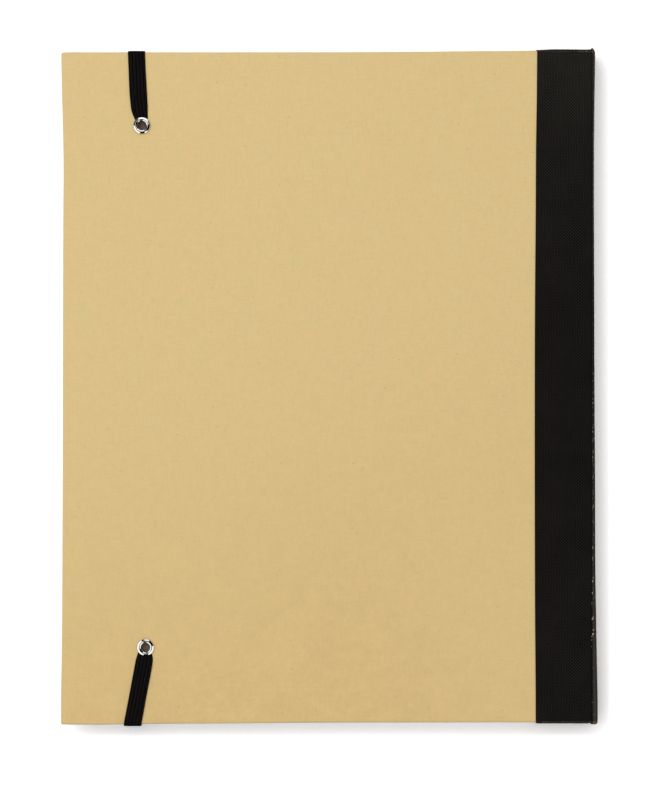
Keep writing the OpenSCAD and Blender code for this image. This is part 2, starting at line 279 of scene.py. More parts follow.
class Shade:
    """The node tree of one material or of the world."""

    def __init__(self, owner):
        owner.use_nodes = True
        self.owner = owner
        self.tree = owner.node_tree
        self.tree.nodes.clear()

    def add(self, kind, settings=None, sockets=None, out=0):
        node = self.tree.nodes.new(kind)
        for key, value in (settings or {}).items():
            setattr(node, key, value)
        for key, value in (sockets or {}).items():
            self.feed(node.inputs[key], value)
        return Value(self, node.outputs[out]) if node.outputs else None

    def feed(self, socket, value):
        if isinstance(value, Value):
            self.tree.links.new(value.socket, socket)
        elif hasattr(value, "__len__"):
            size = len(socket.default_value)
            socket.default_value = (tuple(value) + (1.0,))[:size]
        else:
            socket.default_value = value

    def coordinates(self, kind):
        return self.add("ShaderNodeTexCoord", out=kind)

    def parts(self, vector):
        node = self.tree.nodes.new("ShaderNodeSeparateXYZ")
        self.feed(node.inputs[0], vector)
        return [Value(self, socket) for socket in node.outputs]

    def stretched(self, vector, scale, turn=0.0):
        sockets = {"Vector": vector, "Scale": scale, "Rotation": (0, 0, turn)}
        return self.add("ShaderNodeMapping", None, sockets)

    def noise(self, vector, scale, detail=2.0, roughness=0.5):
        sockets = {"Vector": vector, "Scale": scale, "Detail": detail, "Roughness": roughness}
        return self.add("ShaderNodeTexNoise", None, sockets)

    def cells(self, vector, scale, out="Distance"):
        sockets = {"Vector": vector, "Scale": scale}
        return self.add("ShaderNodeTexVoronoi", {"voronoi_dimensions": "2D"}, sockets, out=out)

    def mix(self, factor, first, second):
        return self.add("ShaderNodeMix", {"data_type": "RGBA"}, {0: factor, 6: first, 7: second}, out=2)

    def lighten(self, colour, factor):
        return self.add("ShaderNodeVectorMath", {"operation": "SCALE"}, {0: colour, "Scale": factor})

    def bump(self, height, distance, strength=1.0):
        sockets = {"Height": height, "Distance": distance, "Strength": strength}
        return self.add("ShaderNodeBump", None, sockets)

    def surface(self, **sockets):
        named = {key.replace("_", " "): value for key, value in sockets.items()}
        shader = self.add("ShaderNodeBsdfPrincipled", None, named)
        self.add("ShaderNodeOutputMaterial", None, {"Surface": shader})
        return self.owner


def material(name):
    return Shade(bpy.data.materials.new(name))


# Materials


def paper_grain(shade, at):
    """Height of a paper's fibres, and of the faint cross lines of its making."""
    along = shade.noise(shade.stretched(at, (330, 2600, 900)), 1.0, 3, 0.6)
    across = shade.noise(shade.stretched(at, (2600, 330, 900)), 1.0, 3, 0.6)
    grain = shade.noise(at, 1900, 3, 0.65)
    return along, across, grain


def kraft_paper(name, colours):
    """Kraft paper with soft cloudy patches, fine fibres and a few dark flecks."""
    shade = material(name)
    at = shade.coordinates("Object")
    along, across, grain = paper_grain(shade, at)
    x, y, _ = shade.parts(at)
    cloud = shade.noise(at, 70, 4, 0.62)
    patch = shade.noise(at, 260, 3, 0.6)
    # Painted shade: the paper turns darker and warmer towards the tail and the spine, away from the lamp, and
    # this is eased by half towards the corner at the tail by the spine
    fresh = x.ramp(0.0, 0.09) * (y * -1).ramp(0.01, 0.1) * 0.5
    painted_tail_shade = (x * 0.35 - y).ramp(-0.06, 0.2) * (1 - fresh)
    colour = shade.mix(painted_tail_shade, colours.kraft, colours.kraft_tail_shade)
    warm = (cloud * 0.5 + patch * 0.5).ramp(0.36, 0.64) * 0.55
    colour = shade.mix(warm, colour, colours.kraft_warm)
    tone = (along + across - 1) * 0.15 + (grain - 0.5) * 0.12 + (patch - 0.5) * 0.11 + (cloud - 0.5) * 0.06
    colour = shade.lighten(colour, tone + 1)
    chance, size, _ = shade.parts(shade.cells(at, 62, "Color"))
    fleck = (1 - shade.cells(at, 62).ramp(0.004, 0.012 + size * 0.022)) * (chance > 0.55)
    turned = shade.stretched(at, (420, 60, 60), 0.9)
    fibre = (1 - shade.cells(turned, 1.0).ramp(0.03, 0.09)) * (shade.noise(at, 40, 1) > 0.56)
    colour = shade.mix(fleck * 0.5 + fibre * 0.13, colour, colours.fleck)
    height = along * 0.5 + across * 0.5 + grain
    return shade.surface(
        Base_Color=colour,
        Roughness=0.86 + (grain - 0.5) * 0.12,
        Normal=shade.bump(height, 0.05 * MM, 0.55),
        Specular_IOR_Level=0.3,
    )


def lining_paper(name, colours):
    """Smoother paper on the inner faces."""
    shade = material(name)
    at = shade.coordinates("Object")
    along, across, grain = paper_grain(shade, at)
    cloud = shade.noise(at, 90, 3)
    tone = (along + across - 1) * 0.06 + (grain - 0.5) * 0.08 + (cloud - 0.5) * 0.06
    chance = shade.parts(shade.cells(at, 120, "Color"))[0]
    fleck = (1 - shade.cells(at, 120).ramp(0.015, 0.035)) * (chance > 0.7)
    colour = shade.mix(fleck * 0.3, shade.lighten(colours.lining, tone + 1), colours.fleck)
    return shade.surface(
        Base_Color=colour,
        Roughness=0.88 + (grain - 0.5) * 0.1,
        Normal=shade.bump(along + across + grain, 0.04 * MM, 0.4),
        Specular_IOR_Level=0.3,
    )


def fibre_board(name, colours):
    """Recycled board with pale and dark fibres."""
    shade = material(name)
    at = shade.coordinates("Object")
    along, across, grain = paper_grain(shade, at)
    chance = shade.parts(shade.cells(at, 420, "Color"))[0]
    fleck = (1 - shade.cells(at, 420).ramp(0.05, 0.16)) * (chance > 0.6)
    tone = (along + across - 1) * 0.2 + (grain - 0.5) * 0.3
    dark_fibre = linear(92, 82, 72)
    colour = shade.mix(fleck * 0.35, shade.lighten(colours.greyboard, tone + 1), dark_fibre)
    return shade.surface(
        Base_Color=colour,
        Roughness=0.9 + (grain - 0.5) * 0.1,
        Normal=shade.bump(along + across + grain, 0.08 * MM, 0.5),
        Specular_IOR_Level=0.25,
    )


def book_cloth(name, colours, sizes, with_fold_wear_and_shade):
    """Black plain-weave book cloth, with painted highlight on the yarns' crowns and painted shade between
    them. On the spine, threads show bare along the worn folds.
    """
    shade = material(name)
    flat = shade.coordinates("UV")
    u, v, _ = shade.parts(flat)
    a = (u * (math.pi / sizes.yarn)).sine()
    b = (v * (math.pi / sizes.yarn)).sine()
    over = (a * b * 1.6).math("MINIMUM", 1.0).highest(-1.0) * 0.5 + 0.5
    warp_slub = shade.noise(shade.stretched(flat, (1400, 150, 1)), 1.0, 2)
    weft_slub = shade.noise(shade.stretched(flat, (150, 1400, 1)), 1.0, 2)
    warp = abs(a) * over
    weft = abs(b) * (1 - over)
    height = warp.highest(weft)
    filled = shade.noise(flat, 140, 3, 0.6).ramp(0.3, 0.7) * 0.35
    # Painted highlight and shade: each yarn is lighter on its crown and darker where it dips under the next;
    # the slub and the filled patches are the cloth's own tone
    crown = warp * (0.75 + warp_slub * 0.7) + weft * (0.1 + weft_slub * 0.5)
    tone = crown * (1.8 - filled) + filled * 0.7 + 0.08 + (shade.noise(flat, 45, 2) - 0.5) * 0.5
    colour = shade.lighten(colours.cloth, tone.highest(0.12))
    if with_fold_wear_and_shade:
        colour = folds_wear_and_painted_shade(shade, flat, u, v, height, colour, colours)
    return shade.surface(
        Base_Color=colour,
        Roughness=0.82 + (warp_slub - 0.5) * 0.12,
        Normal=shade.bump(height + warp_slub * 0.3 + weft_slub * 0.3, 0.08 * MM, 0.7),
        Specular_IOR_Level=0.0,
    )


def folds_wear_and_painted_shade(shade, flat, u, v, height, colour, colours):
    """Greys the cloth along the spine's rounded edge, as rubbed wear with painted sheen, paints shade into
    the crease, sets the cloth lighter towards the head and bares threads on the folds.
    """
    fray = shade.noise(shade.stretched(flat, (900, 900, 1)), 1.0, 3, 0.7)
    streak = shade.noise(shade.stretched(flat, (700, 260, 1)), 1.0, 3, 0.7)
    crease_at = BACK_FOLD_Z - MID_Z + JOINT_R * math.pi / 2
    side = abs(u)
    tailward = (v * -1).ramp(-0.02, 0.14)
    # Rubbed wear and painted sheen: a greyer, lighter strip along the spine's rounded edge, stronger towards
    # the tail
    strip = side.near(crease_at - 2.9 * MM, 0.9 * MM, 1.9 * MM)
    by_head = v.ramp(0.0, 0.16) * 0.3 + v.ramp(0.115, 0.152) * 0.36
    colour = shade.lighten(colour, 0.88 + by_head + (v * -1).ramp(0.02, 0.16) * 0.12)
    colour = shade.mix(strip * (0.16 + streak * 0.26 + tailward * 0.5), colour, colours.rubbed)
    # Painted shade: the cloth is darkened along the crease beside the spine, more so towards the tail
    crease = side.near(crease_at - 1.0 * MM, 0.15 * MM, 0.8 * MM)
    colour = shade.lighten(colour, 1 - crease * (0.2 + tailward * 0.12))
    bared = fray.ramp(0.34, 0.62) * (0.35 + height * 0.65)
    by_spine = 1 - side.ramp(crease_at, crease_at + 9 * MM)
    head = v.near(HALF_H + 0.05 * MM, 0.03 * MM, 0.3 * MM) * bared * (0.08 + by_spine * 0.2)
    tail = (v * -1).near(HALF_H - 0.35 * MM, 0.03 * MM, 0.36 * MM) * bared * 0.3
    rubs = shade.noise(shade.stretched(flat, (1100, 520, 1)), 1.0, 3, 0.65)
    often = (v * -1).near(0.06, 0.055, 0.08) * 0.055 + (v * -1).near(-0.08, 0.01, 0.05) * 0.03
    along_at = crease_at - 2.2 * MM + (v * -1).ramp(0.05, 0.13) * (0.7 * MM)
    flecks = side.near(along_at, 0.4 * MM, 0.95 * MM) * (rubs + often).ramp(0.65, 0.7)
    rim = side.near(crease_at - 3.6 * MM, 0.5 * MM, 1.2 * MM) * v.ramp(0.03, 0.09) * bared * 0.3
    beyond = v.ramp(HALF_H + 0.35 * MM, HALF_H + MM).highest((v * -1).ramp(HALF_H - 0.5 * MM, HALF_H))
    tips = beyond * side.near(crease_at - 2.3 * MM, 0.4 * MM, 1.4 * MM) * fray.ramp(0.3, 0.5) * 0.8
    colour = shade.mix(tips, colour, colours.worn)
    return shade.mix(head.highest(tail).highest(flecks).highest(rim), colour, colours.threads)


def woven_elastic(name, colours, rib_pitch):
    """Black woven elastic with lengthwise ribs and a fine crosswise thread, painted lighter on their crowns
    and darker in their grooves as highlight and shade.
    """
    shade = material(name)
    flat = shade.coordinates("UV")
    across, along, _ = shade.parts(flat)
    broad = (across * (2 * math.pi / rib_pitch)).sine()
    fine = (across * (4 * math.pi / rib_pitch) + 0.6).sine()
    rib = broad * 0.6 + fine * 0.4
    thread = (along * (2 * math.pi / (0.55 * MM)) + fine * 1.2).sine()
    fuzz = shade.noise(shade.stretched(flat, (1300, 130, 1)), 1.0, 3, 0.7)
    # Painted highlight and shade: lighter on the crowns of the ribs and threads, darker in their grooves; the
    # fuzz is the band's own tone
    tone = rib * 0.75 + thread * 0.2 + (fuzz - 0.5) * 1.8
    colour = shade.lighten(colours.elastic, (tone + 1).highest(0.12))
    return shade.surface(
        Base_Color=colour,
        Roughness=0.72 + (fuzz - 0.5) * 0.2,
        Normal=shade.bump(rib * 0.6 + thread * 0.18 + fuzz * 0.3, 0.16 * MM, 0.8),
        Specular_IOR_Level=0.0,
    )


def polished_nickel(name, colours):
    """Bright nickel plate with faint marks from the setting tool."""
    shade = material(name)
    at = shade.coordinates("Object")
    marks = shade.noise(shade.stretched(at, (1500, 5200, 900)), 1.0, 3, 0.7)
    colour = shade.lighten(colours.nickel, 0.94 + marks * 0.1)
    return shade.surface(
        Base_Color=colour,
        Metallic=1.0,
        Roughness=0.07 + marks.ramp(0.45, 0.8) * 0.12,
        Normal=shade.bump(marks, 0.012 * MM, 0.3),
    )


def pad_paper(name, colours, sizes, low, high):
    """Ruled writing paper. The lines lie on the face towards the front cover, and the cut
    edges show the separate sheets."""
    shade = material(name)
    at = shade.coordinates("Object")
    _, y, z = shade.parts(at)
    _, _, facing = shade.parts(shade.add("ShaderNodeNewGeometry", out="Normal"))
    line = ((y / sizes.rule_pitch).math("FRACT") - 0.5).near(0.0, 0.008, 0.022)
    inside = (1 - y.ramp(high.y - 30 * MM, high.y - 29.8 * MM)) * y.ramp(low.y + 14 * MM, low.y + 14.2 * MM)
    front = (facing * -1).ramp(0.7, 0.9) * (1 - z.ramp(low.z + 0.08 * MM, low.z + 0.1 * MM))
    edge = 1 - abs(facing).ramp(0.3, 0.6)
    leaves = shade.noise(shade.stretched(at, (25, 25, 9000)), 1.0, 2)
    grain = shade.noise(at, 1600, 3)
    tone = (grain - 0.5) * 0.05 + edge * (leaves - 0.62) * 0.35
    colour = shade.mix(line * inside * front * 0.8, shade.lighten(colours.paper, tone + 1), colours.rule)
    return shade.surface(
        Base_Color=colour,
        Roughness=0.84 + (grain - 0.5) * 0.1,
        Normal=shade.bump(grain, 0.03 * MM, 0.3),
        Specular_IOR_Level=0.35,
    )


# Mesh helpers


def smooth(t):
    t = min(max(t, 0.0), 1.0)
    return t * t * (3 - 2 * t)


def curve(points, x):
    """A smooth line through points of (x, value, ...), which gives the values at x."""
    x = min(max(x, points[0][0]), points[-1][0])
    i = max(k for k in range(len(points) - 1) if points[k][0] <= x)
    p0, p1, p2, p3 = (points[min(max(k, 0), len(points) - 1)] for k in (i - 1, i, i + 1, i + 2))
    h = p2[0] - p1[0]
    t = (x - p1[0]) / h
    found = []
    for k in range(1, len(p1)):
        m1 = (p2[k] - p0[k]) / (p2[0] - p0[0]) * h
        m2 = (p3[k] - p1[k]) / (p3[0] - p1[0]) * h
        a = 2 * t**3 - 3 * t**2 + 1
        b = t**3 - 2 * t**2 + t
        c = 3 * t**2 - 2 * t**3
        d = t**3 - t**2
        found.append(a * p1[k] + b * m1 + c * p2[k] + d * m2)
    return found


def bent_grid(bm, across, along, place):
    """Adds a grid and bends it: place turns its shares a and b into a point and its flat place."""
    layer = bm.verts.layers.float_vector.get("flat") or bm.verts.layers.float_vector.new("flat")
    made = bmesh.ops.create_grid(bm, x_segments=across, y_segments=along, size=0.5)
    for vert in made["verts"]:
        a = round((vert.co.x + 0.5) * across) / across
        b = round((vert.co.y + 0.5) * along) / along
        point, flat = place(a, b)
        vert.co = point
        vert[layer] = (flat[0], flat[1], 0.0)
    return made["verts"]


def lengths_along(points):
    """How far each point lies from the first, along the line through them."""
    lengths = [0.0]
    for first, second in zip(points, points[1:]):
        lengths.append(lengths[-1] + math.dist(first, second))
    return lengths


def face_outwards(bm):
    bmesh.ops.recalc_face_normals(bm, faces=bm.faces[:])


def turn_over(bm, verts):
    """Turns the faces of a sheet to look to its other side."""
    bmesh.ops.reverse_faces(bm, faces=list({face for vert in verts for face in vert.link_faces}))


def round_edges(bm, edges, radius, segments):
    bmesh.ops.bevel(
        bm, geom=edges, offset=radius, segments=segments, profile=0.5, affect="EDGES", material=-1
    )


def thicken(bm, thickness):
    """Gives a sheet its thickness, behind the side that its faces look to."""
    bm.normal_update()
    bmesh.ops.solidify(bm, geom=bm.faces[:], thickness=thickness)


def piece(name, bm, finish, angle=40.0):
    """Makes the mesh an object at the origin, with its flat places as its UV map."""
    layer = bm.verts.layers.float_vector.get("flat")
    if layer:
        uv = bm.loops.layers.uv.new("UVMap")
        for face in bm.faces:
            for loop in face.loops:
                loop[uv].uv = loop.vert[layer].xy
        bm.verts.layers.float_vector.remove(layer)
    mesh = bpy.data.meshes.new(name)
    bm.to_mesh(mesh)
    bm.free()
    mesh.shade_smooth()
    mesh.set_sharp_from_angle(angle=math.radians(angle))
    mesh.materials.append(finish)
    made = bpy.data.objects.new(name, mesh)
    bpy.context.scene.collection.objects.link(made)
    return made


def even_normals(made):
    modifier = made.modifiers.new("Even normals", "WEIGHTED_NORMAL")
    modifier.keep_sharp = True
    modifier.weight = 100


def dress_node(node, finish, bevel=0.0):
    """Gives a frame node its material, and soft edges where bevel says so."""
    shown = frame["nodes"][node]
    shown.data.materials.clear()
    shown.data.materials.append(finish)
    if bevel:
        weld = shown.modifiers.new("Weld", "WELD")
        weld.merge_threshold = 1e-6
        soften = shown.modifiers.new("Soft edges", "BEVEL")
        soften.width = bevel
        soften.segments = 2
        soften.limit_method = "ANGLE"
        soften.angle_limit = math.radians(40)


def shared_finish(context, build, *more, key=None):
    """The material that build makes, made once and kept for the pieces that share it."""
    key = key or build.__name__
    return bpy.data.materials.get(key) or build(key, context.scene.folder_colours, *more)


def cloth_finish(context, worn):
    # worn gives the spine's cloth its wear, and its painted shade and sheen along the folds
    key = "spine_cloth" if worn else "plain_cloth"
    return shared_finish(context, book_cloth, context.scene.folder_sizes, worn, key=key)


def elastic_finish(context, key, width):
    pitch = width / context.scene.folder_sizes.band_ribs
    return shared_finish(context, woven_elastic, pitch, key=key)


# How far each edge of the covers leaves the straight line, in millimetres along the edge
FORE_EDGE = (
    (-155, 0.82), (-140, 0.7), (-121, 0.41), (-105, 0.23), (-80, 0.14), (-40, -0.04), (0, -0.12), (40, -0.18),
    (77, -0.27), (102, -0.4), (119, -0.15), (132, 0.21), (142, 0.41), (148, 0.62), (155, 0.64),
)
HEAD_EDGE = (
    (-123.2, -0.4), (-121.5, -0.24), (-119.5, -0.18), (-117, -0.24), (0, -0.24), (23, -0.16), (42, -0.02),
    (60, 0.18), (76, 0.29), (86, 0.37), (93, 0.49), (123, 0.55),
)
TAIL_EDGE = (
    (-123, 0.81), (-110, 0.87), (-103, 0.84), (-78, 0.44), (-50, 0.32), (-14, -0.01), (14, -0.11),
    (42, -0.16), (80, -0.22), (123, -0.23),
)
SPINE_BOW = (
    (-156, 0.68), (-147, 0.7), (-133, 0.45), (-105, -0.05), (-80, -0.4), (-43, -0.5), (0, -0.75), (40, -0.87),
    (77, -1.0), (110, -1.0), (133, -0.78), (147, -0.55), (156, -0.45),
)
FLAP_EDGE = (
    (-156, -0.14), (-133, -0.23), (-105, -0.45), (-80, -0.54), (-43, -0.61), (0, -0.6), (40, -0.48),
    (77, -0.18), (110, 0.0), (133, 0.33), (153, 0.5), (156, 0.5),
)

# How far the book cloth goes past the boards at head and tail, by the distance along it
HEAD_REACH = (
    (0, 0.76), (1.8, 0.85), (6.5, 1.1), (15, 1.1), (22.6, 1.02), (25, 1.14), (26.3, 1.4), (27.3, 1.85),
    (28.3, 1.3), (29.2, 0.9), (36, 0.75),
)
TAIL_REACH = (
    (0, 0.06), (1.8, 0.08), (6.5, 0.13), (22.6, 0.15), (25, 0.22), (26.2, 0.5), (27.4, 0.5), (30, 0.9),
    (36, 0.95),
)


def flare(point, amount):
    """Moves a point of a cover with the slight flare of its edges, which dies out towards the
    middle of the cover."""
    x, y = point.x / MM, point.y / MM
    out = curve(FORE_EDGE, y)[0] * smooth((20 - x) / 140) * amount
    edge = HEAD_EDGE if y > 0 else TAIL_EDGE
    up = curve(edge, x)[0] * smooth((abs(y) - 60) / 95) * amount
    point.x -= out * MM
    point.y += up * MM * (1 if y > 0 else -1)


def cover_slab(low, high, sizes):
    """A covered board: paper drawn round the head, the tail and the fore edge."""
    bm = bmesh.new()
    bmesh.ops.create_cube(bm, size=1.0)
    size = high - low
    middle = (low + high) / 2
    short = 0.6 * MM
    bmesh.ops.scale(bm, vec=(size.x - short, size.y, size.z), verts=bm.verts[:])
    bmesh.ops.translate(bm, vec=(middle.x - short / 2, 0, middle.z), verts=bm.verts[:])
    fore = low.x + 1e-5
    corners = [e for e in bm.edges if all(v.co.x < fore and abs(v.co.y) > HALF_H - 1e-5 for v in e.verts)]
    round_edges(bm, corners, sizes.corner_round, segments=5)
    end = high.x - short - 0.1 * MM
    rims = [
        e
        for e in bm.edges
        if e.calc_face_angle(0) > 1.2 and min(v.co.x for v in e.verts) < end
        and abs(e.verts[0].co.z - e.verts[1].co.z) < 1e-7
    ]
    round_edges(bm, rims, sizes.edge_round, segments=6)
    for axis, cuts in ((Vector((1, 0, 0)), 44), (Vector((0, 1, 0)), 56)):
        for i in range(1, cuts):
            spot = middle + axis * (size.dot(axis) * (i / cuts - 0.5))
            whole = bm.verts[:] + bm.edges[:] + bm.faces[:]
            bmesh.ops.bisect_plane(bm, geom=whole, dist=1e-7, plane_co=spot, plane_no=axis)
    for vert in bm.verts:
        flare(vert.co, sizes.flare)
    return bm


def punch(made, places, radius, low, high):
    """Cuts round holes through a piece."""
    bm = bmesh.new()
    for at in places:
        turned = Matrix.Translation((at[0], at[1], (low + high) / 2))
        bmesh.ops.create_cone(
            bm, cap_ends=True, segments=48, radius1=radius, radius2=radius, depth=high - low, matrix=turned
        )
    mesh = bpy.data.meshes.new("hole_cutter")
    bm.to_mesh(mesh)
    bm.free()
    cutter = bpy.data.objects.new("hole_cutter", mesh)
    bpy.context.scene.collection.objects.link(cutter)
    cut = made.modifiers.new("Holes", "BOOLEAN")
    cut.operation = "DIFFERENCE"
    cut.solver = "EXACT"
    cut.object = cutter
    graph = bpy.context.evaluated_depsgraph_get()
    result = bpy.data.meshes.new_from_object(made.evaluated_get(graph))
    made.modifiers.remove(cut)
    made.data = result
    bpy.data.objects.remove(cutter)
    bpy.data.meshes.remove(mesh)


EYELETS = ("head_eyelet", "tail_eyelet")


def eyelet_places():
    middles = [sum(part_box(node), Vector()) / 2 for node in EYELETS]
    return [(middle.x, middle.y) for middle in middles]


class FOLDER_OT_covers(bpy.types.Operator):
    """Kraft-covered boards of the back and the front"""

    bl_idname = "folder.covers"
    bl_label = "Covers"

    def execute(self, context):
        sizes = context.scene.folder_sizes
        finish = shared_finish(context, kraft_paper)
        back = piece("back_cover", cover_slab(BACK_LOW, BACK_HIGH, sizes), finish)
        punch(back, eyelet_places(), radius=2.62 * MM, low=BACK_LOW.z - MM, high=BACK_HIGH.z + MM)
        front = piece("front_cover", cover_slab(FRONT_LOW, FRONT_HIGH, sizes), finish)
        for made, side in ((back, "back"), (front, "front")):
            even_normals(made)
            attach(made, side + "_cover")
            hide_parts(side + "_cover_paper", side + "_board")
        for node in ("back_lining", "front_lining"):
            dress_node(node, shared_finish(context, lining_paper))
        self.spine_board(context)
        return {"FINISHED"}

    def spine_board(self, context):
        """The spine's board, bowed with the cloth that it carries."""
        low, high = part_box("spine_board")
        bm = bmesh.new()
        bmesh.ops.create_grid(bm, x_segments=1, y_segments=48, size=0.5)
        bmesh.ops.scale(bm, vec=(high.x - low.x, high.y - low.y - 1.6 * MM, 1), verts=bm.verts[:])
        bmesh.ops.translate(bm, vec=((low.x + high.x) / 2, 0, low.z), verts=bm.verts[:])
        raised = bmesh.ops.extrude_face_region(bm, geom=bm.faces[:])
        top = [item for item in raised["geom"] if isinstance(item, bmesh.types.BMVert)]
        bmesh.ops.translate(bm, vec=(0, 0, high.z - low.z), verts=top)
        for vert in bm.verts:
            if vert.co.x > low.x + 1e-6:
                vert.co.x += min(bow(vert.co.y), 0.0)
        face_outwards(bm)
        finish = shared_finish(context, fibre_board)
        made = piece("spine_board_bowed", bm, finish, angle=30)
        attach(made, "spine")
        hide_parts("spine_board")


def bow(y):
    """How far the spine leaves the straight line at y."""
    return curve(SPINE_BOW, y / MM)[0] * MM


def spine_profile(s, sizes):
    """A point on the book cloth's face, s along it from the edge on the back cover, and the
    outward direction there. The cloth lies flat to the crease, folds round and runs down."""
    top = BACK_FOLD_Z + JOINT_R
    flat = HINGE_X - FLAP_X
    bend = JOINT_R * math.pi / 2
    dip = sizes.crease_depth * math.exp(-(((s - flat - 0.9 * MM) / (0.7 * MM)) ** 2))
    if s <= flat:
        return Vector((FLAP_X + s, 0, top - dip)), Vector((0, 0, 1))
    if s <= flat + bend:
        turn = (s - flat) / JOINT_R
        away = Vector((math.sin(turn), 0, math.cos(turn)))
        return Vector((HINGE_X, 0, BACK_FOLD_Z)) + away * (JOINT_R - dip), away
    return Vector((SPINE_HIGH.x, 0, BACK_FOLD_Z - (s - flat - bend))), Vector((1, 0, 0))


def spine_half(sizes, front):
    """Half of the spine's book cloth, from one cover to the middle of the spine."""
    flat = HINGE_X - FLAP_X
    bend = JOINT_R * math.pi / 2
    total = flat + bend + BACK_FOLD_Z - MID_Z
    lip = 1.15 * MM
    rows, ends = 110, 7
    steps = rows + 2 * ends

    def place(a, b):
        s = total * a
        point, away = spine_profile(s, sizes)
        k = b * steps - steps / 2
        past = max(abs(k) - rows / 2, 0.0) / ends
        end = -1 if (k < 0) != front else 1
        reach = HALF_H + curve(HEAD_REACH if end > 0 else TAIL_REACH, s / MM)[0] * MM
        turn = past * math.radians(105)
        y = (reach - lip) * min(abs(k) / (rows / 2), 1.0) + lip * math.sin(turn)
        pucker = noise.noise(Vector((point.x * 160, y * 160, point.z * 160))) * 0.035 * MM
        point = point - away * (lip * (1 - math.cos(turn)) - pucker)
        point.y = math.copysign(y, k)
        way = end * y / MM
        share = smooth((s / flat - 0.5) * 2)
        swing = smooth((s - flat - 0.9 * MM) / (2.2 * MM))
        by_crease = 0.15
        by_spine = curve(SPINE_BOW, way)[0] + 0.1
        fold = by_crease + (by_spine - by_crease) * swing
        point.x += (curve(FLAP_EDGE, way)[0] * (1 - share) + fold * share) * MM
        u = total - s
        v = math.copysign(y + lip * (turn - math.sin(turn)), k)
        if front:
            point.z = 2 * MID_Z - point.z
            point.y = -point.y
            return point, (-u, -v)
        return point, (u, v)

    bm = bmesh.new()
    bent_grid(bm, 64, steps, place)
    thicken(bm, sizes.cloth_thickness)
    return bm, total


def turned_strip(bm, path, low, high, lie):
    """Adds cloth turned round an edge: path gives (along Y, depth) points, and lie sets them
    between low and high."""
    lengths = lengths_along(path)

    def place(a, b):
        k = round(b * (len(path) - 1))
        spot = low + (high - low) * a
        return lie(spot, *path[k]), (spot, lengths[k])

    return bent_grid(bm, 8, len(path) - 1, place)


def hook(reach, inset, depth, length, r):
    """Points of a cloth end that goes down an edge, round its corner and back in."""
    points = [(reach, inset), (reach, depth - r)]
    for i in range(1, 7):
        turn = math.radians(15 * i)
        points.append((reach - r * (1 - math.cos(turn)), depth - r + r * math.sin(turn)))
    points += [(reach - r - (length - r) * k / 4, depth) for k in range(1, 5)]
    return points


class FOLDER_OT_spine_cloth(bpy.types.Operator):
    """Black book cloth over the spine, on both covers and turned in at head and tail"""

    bl_idname = "folder.spine_cloth"
    bl_label = "Spine cloth"

    def execute(self, context):
        sizes = context.scene.folder_sizes
        finish = cloth_finish(context, True)
        top = BACK_FOLD_Z + JOINT_R
        for front, cover in ((False, "back_cover"), (True, "front_cover")):
            side = cover.split("_")[0]
            bm, total = spine_half(sizes, front)
            made = piece(side + "_spine_cloth_sheet", bm, finish)
            z = (2 * MID_Z - top, FRONT_FOLD_Z) if front else (top, BACK_FOLD_Z)
            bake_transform(made)
            nodes = (side + "_spine_cloth", side + "_fold_cloth") + (() if front else ("spine_cloth",))
            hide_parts(*nodes)
            self.turn_ins(sizes, side, cover, front, cloth_finish(context, False))
        self.spine_ends(sizes, cloth_finish(context, False))
        return {"FINISHED"}

    def turn_ins(self, sizes, side, cover, front, finish):
        """The cloth's ends on a cover, turned in over the head and the tail."""
        thick = BACK_HIGH.z - BACK_LOW.z
        outer = FRONT_LOW.z if front else BACK_HIGH.z
        inwards = 1 if front else -1
        bm = bmesh.new()
        for end, reach in ((-1, HALF_H + 0.3 * MM), (1, HALF_H + 0.75 * MM)):
            length = reach - HINGE_CLOTH_HIGH.y - SEAM
            depth = thick + sizes.cloth_thickness
            path = hook(reach, inset=0.5 * MM, depth=depth, length=length, r=0.9 * MM)

            def lie(x, y, depth):
                return Vector((x, end * y, outer + inwards * depth))

            fresh = turned_strip(bm, path, FLAP_X + 0.1 * MM, COVER_END, lie)
            if (end > 0) == front:
                turn_over(bm, fresh)
        thicken(bm, sizes.cloth_thickness)
        made = piece(side + "_cloth_turn_ins", bm, finish)
        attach(made, cover)

    def spine_ends(self, sizes, finish):
        """The cloth turned in over the head and the tail of the spine board."""
        whole = SPINE_HIGH.x - SPINE_LOW.x
        reach = SPINE_HIGH.y - 0.06 * MM
        length = reach - HINGE_CLOTH_HIGH.y - SEAM
        path = hook(reach, inset=0.6 * MM, depth=whole, length=length, r=0.7 * MM)
        inset = 0.2 * MM
        bm = bmesh.new()
        for end in (-1, 1):

            def lie(z, y, depth):
                x = SPINE_HIGH.x - depth + bow(end * y) * (1 - depth / whole)
                return Vector((x, end * y, z))

            fresh = turned_strip(bm, path, SPINE_LOW.z + inset, SPINE_HIGH.z - inset, lie)
            if end > 0:
                turn_over(bm, fresh)
        thicken(bm, sizes.cloth_thickness)
        made = piece("spine_cloth_turn_ins", bm, finish)
        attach(made, "spine")


